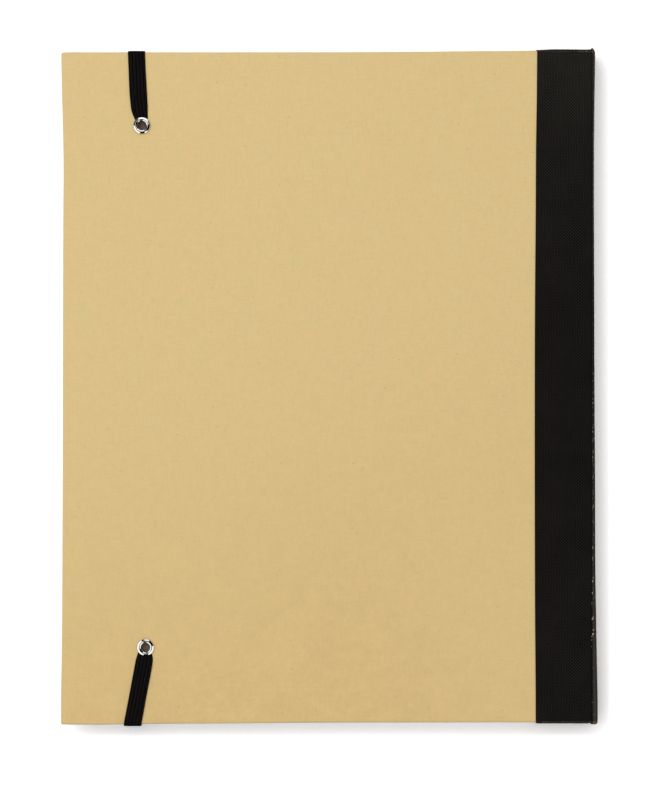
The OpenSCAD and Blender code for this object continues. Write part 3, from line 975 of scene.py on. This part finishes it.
class FOLDER_OT_hinge_cloth(bpy.types.Operator):
    """Cloth along the inside of both folds and of the spine"""

    bl_idname = "folder.hinge_cloth"
    bl_label = "Hinge cloth"

    def execute(self, context):
        finish = cloth_finish(context, False)
        thick = HINGE_CLOTH_HIGH.z - HINGE_CLOTH_LOW.z
        spine_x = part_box("spine_lining")[0].x
        face_z = HINGE_CLOTH_LOW.z
        r = 0.85 * MM
        flat = spine_x - r - HINGE_CLOTH_LOW.x
        bend = r * math.pi / 2
        total = flat + bend + face_z - r - MID_Z
        half = HINGE_CLOTH_HIGH.y

        def profile(s):
            if s <= flat:
                return HINGE_CLOTH_LOW.x + s, face_z
            if s <= flat + bend:
                turn = (s - flat) / r
                return spine_x - r + r * math.sin(turn), face_z - r + r * math.cos(turn)
            return spine_x, face_z - r - (s - flat - bend)

        for front, cover in ((False, "back_cover"), (True, "front_cover")):
            side = cover.split("_")[0]

            def place(a, b):
                s = total * a
                x, z = profile(s)
                y = half * (1 - 2 * b)
                z += noise.noise(Vector((x * 90, y * 60, 3.0))) * 0.04 * MM
                if front:
                    return Vector((x, -y, 2 * MID_Z - z)), (s - total, -y)
                return Vector((x, y, z)), (total - s, y)

            bm = bmesh.new()
            bent_grid(bm, 44, 80, place)
            thicken(bm, thick)
            made = piece(side + "_hinge_cloth_sheet", bm, finish)
            z = (2 * MID_Z - face_z, 2 * MID_Z - face_z + MM) if front else (face_z, face_z - MM)
            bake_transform(made)
            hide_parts(side + "_hinge_cloth", *(() if front else ("spine_lining",)))
        return {"FINISHED"}


def oval_arc(centre, across, up, turns):
    """Points of (out, up) on an oval round centre, at turns in degrees from its outer side."""
    found = []
    for turn in map(math.radians, turns):
        found.append((centre[0] + across * math.cos(turn), centre[1] + up * math.sin(turn)))
    return found


def eyelet_section(cover_top, bottom):
    """Section of an eyelet in millimetres, as (from its axis, up): the flange's dome, the roll
    into the throat, the clinched rim at the bottom, and back inside the metal."""
    seat = cover_top + 0.35
    foot = bottom + 0.7
    flange, crown, throat, rim = 4.0, 2.85, 2.04, 0.73
    section = [(flange - 0.28, seat), (flange, seat)]
    section += oval_arc((crown, seat), flange - crown, 0.9, range(6, 91, 6))
    section += oval_arc((crown, seat + 0.15), 0.8, 0.75, range(98, 171, 8))
    section += [(throat, seat - 0.1), (throat, seat - 1.6), (throat, foot)]
    section += oval_arc((throat + rim, foot), rim, 0.7, range(195, 361, 15))
    section += [(3.2, foot), (2.6, foot + 0.3), (2.6, seat - 0.6), (3.2, seat + 0.3)]
    return section


class FOLDER_OT_eyelets(bpy.types.Operator):
    """Nickel eyelets: a domed flange that rolls into a throat, and a clinched rim inside"""

    bl_idname = "folder.eyelets"
    bl_label = "Eyelets"

    def execute(self, context):
        finish = shared_finish(context, polished_nickel)
        for node, at in zip(EYELETS, eyelet_places()):
            section = eyelet_section(BACK_HIGH.z / MM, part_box(node)[0].z / MM)
            bm = bmesh.new()
            ring = [bm.verts.new((at[0] + r * MM, at[1], z * MM)) for r, z in section]
            edges = [bm.edges.new((first, second)) for first, second in zip(ring, ring[1:] + ring[:1])]
            bmesh.ops.spin(
                bm,
                geom=ring + edges,
                cent=(at[0], at[1], 0),
                axis=(0, 0, 1),
                angle=math.tau,
                steps=72,
                use_merge=True,
            )
            bmesh.ops.remove_doubles(bm, verts=bm.verts[:], dist=1e-8)
            face_outwards(bm)
            made = piece(node + "_ring", bm, finish, angle=50)
            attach(made, "back_cover")
            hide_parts(node)
        return {"FINISHED"}


# The band on the back cover, as (distance from the eyelet, sideways, width) in millimetres
HEAD_RUN = (
    (2.7, -0.13, 5.95), (4.0, -0.33, 6.4), (7.3, -1.0, 7.55), (10.5, -1.31, 7.87), (17.0, -1.75, 8.05),
    (26.7, -2.2, 7.87), (36.0, -2.6, 7.95),
)
TAIL_RUN = (
    (2.7, -0.17, 6.6), (3.7, -0.28, 7.05), (5.1, -0.38, 7.65), (7.8, -0.84, 7.92), (11.2, -1.43, 7.98),
    (21.3, -3.36, 7.92), (28.1, -4.6, 8.0), (37.0, -6.3, 8.1),
)


def ribbon(bm, stations):
    """Adds an elastic ribbon along stations of (centre, sideways, outwards, width, thickness),
    with round edges."""
    round_steps = 28
    lengths = lengths_along([station[0] for station in stations])

    def place(a, b):
        k = round(a * (len(stations) - 1))
        centre, sideways, outwards, width, thick = stations[k]
        turn = math.tau * b
        c, s = math.cos(turn), math.sin(turn)
        x = math.copysign(abs(c) ** 0.3, c) * width / 2
        z = math.copysign(abs(s) ** 0.55, s) * thick / 2
        return centre + sideways * x + outwards * z, (x, lengths[k])

    bent_grid(bm, len(stations) - 1, round_steps, place)
    bmesh.ops.remove_doubles(bm, verts=bm.verts[:], dist=1e-8)
    bmesh.ops.holes_fill(bm, edges=[e for e in bm.edges if e.is_boundary], sides=0)
    face_outwards(bm)


def band_end_stations(eyelet, end, run, edge_r):
    """The elastic from an eyelet, along the back cover, over its edge and round to the front."""
    edge_y = HALF_H + curve(HEAD_EDGE if end > 0 else TAIL_EDGE, eyelet[0] / MM)[0] * MM
    start_y = abs(eyelet[1])
    first_y = start_y + run[0][0] * MM
    pinched = 0.36 * MM
    taut = 0.62 * MM
    slack = 0.0 if end > 0 else 0.43 * MM
    top = BACK_HIGH.z
    rest = FRONT_LOW.z
    flat_end = edge_y - edge_r
    stations = []

    def add(y, z, outwards, thick):
        distance = (min(y, edge_y) - start_y) / MM
        shift, width = curve(run, distance)
        slope = (curve(run, distance + 0.2)[0] - shift) / 0.2 if abs(outwards.y) < 0.01 else 0.0
        centre = Vector((eyelet[0] + shift * MM, end * y, z))
        sideways = Vector((1, -end * slope, 0)).normalized()
        stations.append((centre, sideways, Vector((0, end * outwards.y, outwards.z)), width * MM, thick))

    for i in range(41):
        y = first_y + (flat_end - first_y) * i / 40
        free = smooth((y - start_y - 3.6 * MM) / (5 * MM))
        thick = pinched + (BAND_T - pinched) * free
        swell = 0.12 * MM * math.exp(-(((y - start_y - 7.5 * MM) / (3 * MM)) ** 2))
        add(y, top + thick / 2 + swell, Vector((0, 0, 1)), thick)
    reach = edge_r + taut / 2 + slack
    for i in range(1, 9):
        turn = math.radians(90 * i / 8)
        away = Vector((0, math.sin(turn), math.cos(turn)))
        thick = BAND_T + (taut - BAND_T) * smooth(i / 4)
        add(flat_end + reach * away.y, top - edge_r + (edge_r + thick / 2) * away.z, away, thick)
    for i in range(1, 12):
        z = top - edge_r + (rest - top + 2 * edge_r) * i / 12
        add(flat_end + reach, z, Vector((0, 1, 0)), taut)
    for i in range(0, 9):
        turn = math.radians(90 + 90 * i / 8)
        away = Vector((0, math.sin(turn), math.cos(turn)))
        thick = taut + (BAND_T - taut) * smooth(i / 8)
        add(flat_end + reach * away.y, rest + edge_r + (edge_r + thick / 2) * away.z, away, thick)
    last = stations[-1]
    for i in range(1, 4):
        centre = last[0] - Vector((0, end * 0.6 * MM * i, 0))
        stations.append((centre, last[1], Vector((0, 0, -1)), last[3], BAND_T))
    return stations


class FOLDER_OT_band(bpy.types.Operator):
    """Flat elastic band: two ends clamped under the eyelets, and the run across the front"""

    bl_idname = "folder.band"
    bl_label = "Elastic band"

    def execute(self, context):
        sizes = context.scene.folder_sizes
        finish = elastic_finish(context, "band_elastic", width=7.8 * MM)
        finished = []
        nodes = ("band_head_end", "band_tail_end")
        for node, at, end, run in zip(nodes, eyelet_places(), (1, -1), (HEAD_RUN, TAIL_RUN)):
            stations = band_end_stations(at, end, run, sizes.edge_round)
            bm = bmesh.new()
            ribbon(bm, stations)
            made = piece(node + "_ribbon", bm, finish, angle=60)
            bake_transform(made)
            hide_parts(node)
            finished.append(stations[-1])
        head, tail = finished
        stations = []
        for i in range(61):
            share = i / 60
            centre = head[0].lerp(tail[0], share)
            width = head[3] + (tail[3] - head[3]) * share
            stations.append((centre, Vector((1, 0, 0)), Vector((0, 0, -1)), width, BAND_T))
        bm = bmesh.new()
        ribbon(bm, stations)
        made = piece("band_front_ribbon", bm, finish, angle=60)
        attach(made, "band")
        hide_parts("band_front_run")
        return {"FINISHED"}


class FOLDER_OT_pad(bpy.types.Operator):
    """Writing pad: ruled sheets on a grey backing, bound with cloth tape at the head"""

    bl_idname = "folder.pad"
    bl_label = "Writing pad"

    def execute(self, context):
        sizes = context.scene.folder_sizes
        low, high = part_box("pad_sheets")
        finish = shared_finish(context, pad_paper, sizes, low, high)
        size = high - low
        middle = (low + high) / 2
        pitch = size.z / sizes.pad_sheets
        leaf = (size.x - 0.4 * MM, size.y - 0.3 * MM, pitch * 0.94)
        bm = bmesh.new()
        for i in range(sizes.pad_sheets):
            verts = bmesh.ops.create_cube(bm, size=1.0)["verts"]
            shift = [noise.noise(Vector((i * 3.7, k * 9.1, 0.5))) * 0.22 * MM for k in (1, 2)]
            at = (middle.x + shift[0], middle.y + shift[1] * 0.6, low.z + pitch * (i + 0.5))
            bmesh.ops.scale(bm, vec=leaf, verts=verts)
            bmesh.ops.translate(bm, vec=at, verts=verts)
        sheets = piece("pad_leaves", bm, finish, angle=30)
        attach(sheets, "pad")
        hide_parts("pad_sheets")
        dress_node("pad_backing", shared_finish(context, fibre_board), bevel=0.12 * MM)
        self.tape(context)
        return {"FINISHED"}

    def tape(self, context):
        """Cloth tape over the head of the pad, from its face to its backing."""
        low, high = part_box("pad_binding_tape")
        r = 0.5 * MM
        path = [(low.y, low.z), (high.y - r, low.z)]
        path += oval_arc((high.y - r, low.z + r), r, r, range(-75, 1, 15))
        path += oval_arc((high.y - r, high.z - r), r, r, range(0, 91, 15))
        path.append((low.y, high.z))
        lengths = lengths_along(path)

        def place(a, b):
            k = round(b * (len(path) - 1))
            x = high.x + (low.x - high.x) * a
            y, z = path[k]
            return Vector((x, y, z)), (x, lengths[k])

        bm = bmesh.new()
        bent_grid(bm, 60, len(path) - 1, place)
        thicken(bm, 0.14 * MM)
        made = piece("pad_tape_sheet", bm, cloth_finish(context, False))
        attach(made, "pad")
        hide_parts("pad_binding_tape")


class FOLDER_OT_cards(bpy.types.Operator):
    """Card sleeve for the pad on the back cover, and the document pocket on the front cover"""

    bl_idname = "folder.cards"
    bl_label = "Sleeve and pocket"

    def execute(self, context):
        for node in ("pad_sleeve", "document_pocket"):
            dress_node(node, shared_finish(context, kraft_paper), bevel=0.14 * MM)
        return {"FINISHED"}


class FOLDER_OT_pen_loop(bpy.types.Operator):
    """Elastic loop for a pen, in the gutter beside the pad"""

    bl_idname = "folder.pen_loop"
    bl_label = "Pen loop"

    def execute(self, context):
        low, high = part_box("pen_loop")
        middle = (low + high) / 2
        half = (high - low) / 2
        thick = 0.95 * MM
        steps = 72
        length = math.tau * (half.x + half.z) / 2

        def place(a, b):
            turn = math.tau * a - math.pi / 2
            c, s = math.cos(turn), math.sin(turn)
            x = math.copysign(abs(c) ** 0.72, c) * half.x
            z = math.copysign(abs(s) ** 0.72, s) * half.z
            y = half.y * (1 - 2 * b)
            return Vector((middle.x + x, middle.y + y, middle.z + z)), (y, a * length)

        bm = bmesh.new()
        bent_grid(bm, steps, 10, place)
        bmesh.ops.remove_doubles(bm, verts=bm.verts[:], dist=1e-8)
        face_outwards(bm)
        thicken(bm, thick)
        finish = elastic_finish(context, "loop_elastic", width=2 * half.y / 3)
        made = piece("pen_loop_ribbon", bm, finish, angle=60)
        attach(made, "back_cover")
        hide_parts("pen_loop")
        return {"FINISHED"}


class FOLDER_OT_stage(bpy.types.Operator):
    """White table, soft light from the upper left, and a camera straight above"""

    bl_idname = "folder.stage"
    bl_label = "Stage"

    def execute(self, context):
        self.table()
        self.dark_cards()
        self.room()
        self.softbox("key_light", at=(-0.62, 0.58, 1.8), size=1.5, power=19.4)
        self.camera(context)
        context.scene.view_settings.view_transform = "Standard"
        return {"FINISHED"}

    def table(self):
        """A white table, as bright as a lit backdrop, which keeps the folder's shadow. Away from the
        closed folder only a soft shadow is left of it, so that a cover swung below it shows."""
        shade = material("white_table")
        x, y, _ = shade.parts(shade.coordinates("Object"))
        seen = shade.add("ShaderNodeLightPath", out="Is Camera Ray")
        for ray in ("Is Glossy Ray", "Is Transmission Ray"):
            seen = seen.highest(shade.add("ShaderNodeLightPath", out=ray))
        dull = shade.add("ShaderNodeBsdfDiffuse", None, {"Color": (0.38, 0.38, 0.38)})
        # Painted light: the table is brighter beside the tail and the spine, which lifts the folder's shadow
        # there, and bluer beside the kraft and warmer beside the cloth, which cancels the tint that light
        # bounced off the folder gives the shadow
        by_tail = (y * -1).near(HALF_H, 0.0, 4.6 * MM) * (1 - x.ramp(0.112, 0.124))
        by_cloth = x.ramp(0.075, 0.1)
        near = shade.mix(by_cloth, (1.59, 1.7, 1.86, 1), (1.65, 1.63, 1.61, 1))
        colour = shade.mix(by_cloth, (1.42, 1.434, 1.46, 1), (1.45, 1.436, 1.42, 1))
        by_spine = x.near(SPINE_HIGH.x, 0.0, 3.4 * MM) * (1 - abs(y).ramp(HALF_H, HALF_H + 6 * MM))
        colour = shade.mix(by_tail.highest(by_spine), colour, near)
        bright = shade.add("ShaderNodeBsdfDiffuse", None, {"Color": colour})
        open_sky = shade.add("ShaderNodeAmbientOcclusion", {"samples": 8}, {"Distance": 40 * MM}, out="AO")
        shadow = shade.lighten((1.0, 1.0, 1.0), open_sky.ramp(0.0, 0.7) * 0.7 + 0.27)
        clear = shade.add("ShaderNodeBsdfTransparent", None, {"Color": (1.0, 1.0, 1.0, 1)})
        glimpse = shade.add("ShaderNodeBsdfTransparent", None, {"Color": shadow})
        away = (abs(x) - SPINE_HIGH.x).highest(abs(y) - HALF_H).ramp(6 * MM, 10 * MM)
        shown = shade.add("ShaderNodeMixShader", None, {0: away, 1: bright, 2: glimpse})
        mixed = shade.add("ShaderNodeMixShader", None, {0: seen, 1: dull, 2: shown})
        behind = shade.add("ShaderNodeNewGeometry", out="Backfacing")
        sided = shade.add("ShaderNodeMixShader", None, {0: behind, 1: mixed, 2: clear})
        shade.add("ShaderNodeOutputMaterial", None, {"Surface": sided})
        self.plane("table_top", Matrix.Translation((0, 0, -0.02 * MM)), 3.0, 3.0, shade.owner)

    def dark_cards(self):
        """Black cards above the folder, which only the polished eyelets reflect."""
        shade = material("black_card")
        finish = shade.surface(Base_Color=(0.004, 0.004, 0.004), Roughness=1.0, Specular_IOR_Level=0.0)
        across = Matrix.Rotation(math.pi / 2, 4, "X")
        along = Matrix.Rotation(math.pi / 2, 4, "Y")
        aslant = Matrix.Rotation(math.radians(47.7), 4, "Z")
        downhill = Matrix.Rotation(math.radians(-69.6), 4, "Z")
        uphill = Matrix.Rotation(math.radians(23), 4, "Z")
        by_tail = Matrix.Translation((*eyelet_places()[1], 0.065))
        below = by_tail @ Matrix.Translation((0, -0.0355, 0))
        beside = by_tail @ uphill @ Matrix.Translation((0, 0.0355, -0.022))
        cards = (
            ("card_across", Matrix.Translation((0.225, 0, 0.56)) @ across, 0.225, 0.34),
            ("card_along", Matrix.Translation((0.05, 0.08, 0.465)) @ along, 0.435, 0.08),
            ("card_low", Matrix.Translation((-0.0855, 0.091, 0.065)) @ across, 0.011, 0.055),
            ("card_right", Matrix.Translation((0.22, 0.26, 0.225)) @ along, 0.22, 0.16),
            ("card_left", Matrix.Translation((-0.2, 0.185, 0.155)) @ aslant @ across, 0.074, 0.145),
            ("card_tail", Matrix.Translation((-0.0156, -0.0717, 0.1275)) @ downhill @ across, 0.042, 0.1225),
            ("card_foot", below @ across, 0.0115, 0.055),
            ("card_shoulder", beside @ across, 0.008, 0.034),
            ("card_level", Matrix.Translation((0, 0, 1.3)), 0.4, 0.4),
        )
        for name, matrix, half_x, half_y in cards:
            card = self.plane(name, matrix, half_x, half_y, finish)
            card.visible_camera = False
            card.visible_diffuse = False
            card.visible_shadow = False
            card.visible_transmission = False

    def plane(self, name, matrix, half_x, half_y, finish):
        bm = bmesh.new()
        bmesh.ops.create_grid(bm, x_segments=2, y_segments=2, size=1.0)
        bmesh.ops.scale(bm, vec=(half_x, half_y, 1), verts=bm.verts[:])
        bmesh.ops.transform(bm, matrix=matrix, verts=bm.verts[:])
        mesh = bpy.data.meshes.new(name)
        bm.to_mesh(mesh)
        bm.free()
        mesh.materials.append(finish)
        made = bpy.data.objects.new(name, mesh)
        bpy.context.scene.collection.objects.link(made)
        return made

    def room(self):
        """A plain white room, brighter where polished metal mirrors it."""
        world = bpy.data.worlds.new("studio")
        bpy.context.scene.world = world
        shade = Shade(world)
        mirror = shade.add("ShaderNodeLightPath", out="Is Glossy Ray")
        seen = shade.add("ShaderNodeLightPath", out="Is Camera Ray")
        strength = 0.6 + mirror * 0.65 + seen * 0.6
        light = shade.add("ShaderNodeBackground", None, {"Color": (1.0, 1.0, 1.0), "Strength": strength})
        shade.add("ShaderNodeOutputWorld", None, {"Surface": light})

    def softbox(self, name, at, size, power):
        lamp = bpy.data.lights.new(name, "AREA")
        lamp.shape = "SQUARE"
        lamp.size = size
        lamp.energy = power
        made = bpy.data.objects.new(name, lamp)
        made.location = at
        made.rotation_euler = (-Vector(at)).to_track_quat("-Z", "Y").to_euler()
        made.visible_glossy = False
        bpy.context.scene.collection.objects.link(made)

    def camera(self, context):
        """Straight above. The picture is 800 points high, and each is 0.4617 mm at the back cover."""
        point = 0.4617 * MM
        middle_x = -2.0 * point
        middle_y = -12.75 * point
        height = 1.6
        lens = bpy.data.cameras.new("view")
        lens.sensor_width = 36
        lens.lens = lens.sensor_width * height / (800 * point)
        made = bpy.data.objects.new("view", lens)
        made.location = (middle_x, middle_y, BACK_HIGH.z + height)
        context.scene.collection.objects.link(made)
        context.scene.camera = made


OPERATORS = (
    FOLDER_OT_covers,
    FOLDER_OT_spine_cloth,
    FOLDER_OT_hinge_cloth,
    FOLDER_OT_eyelets,
    FOLDER_OT_band,
    FOLDER_OT_pad,
    FOLDER_OT_cards,
    FOLDER_OT_pen_loop,
    FOLDER_OT_stage,
)


class FOLDER_PT_panel(bpy.types.Panel):
    """Lists the folder's pieces, sizes and colours"""

    bl_idname = "FOLDER_PT_panel"
    bl_label = "Conference Folder"
    bl_space_type = "VIEW_3D"
    bl_region_type = "UI"
    bl_category = "Folder"

    def draw(self, context):
        layout = self.layout
        for operator in OPERATORS:
            layout.operator(operator.bl_idname)
        for group in (context.scene.folder_sizes, context.scene.folder_colours):
            box = layout.box()
            for name in group.bl_rna.properties.keys():
                if name not in ("rna_type", "name"):
                    box.prop(group, name)


CLASSES = (FolderSizes, FolderColours, *OPERATORS, FOLDER_PT_panel)


def register():
    for item in CLASSES:
        bpy.utils.register_class(item)
    bpy.types.Scene.folder_sizes = PointerProperty(type=FolderSizes)
    bpy.types.Scene.folder_colours = PointerProperty(type=FolderColours)


def unregister():
    del bpy.types.Scene.folder_colours
    del bpy.types.Scene.folder_sizes
    for item in reversed(CLASSES):
        bpy.utils.unregister_class(item)


def main():
    register()
    for operator in OPERATORS:
        group, name = operator.bl_idname.split(".")
        getattr(getattr(bpy.ops, group), name)()
    bpy.context.view_layer.update()


if __name__ == "__main__":
    main()
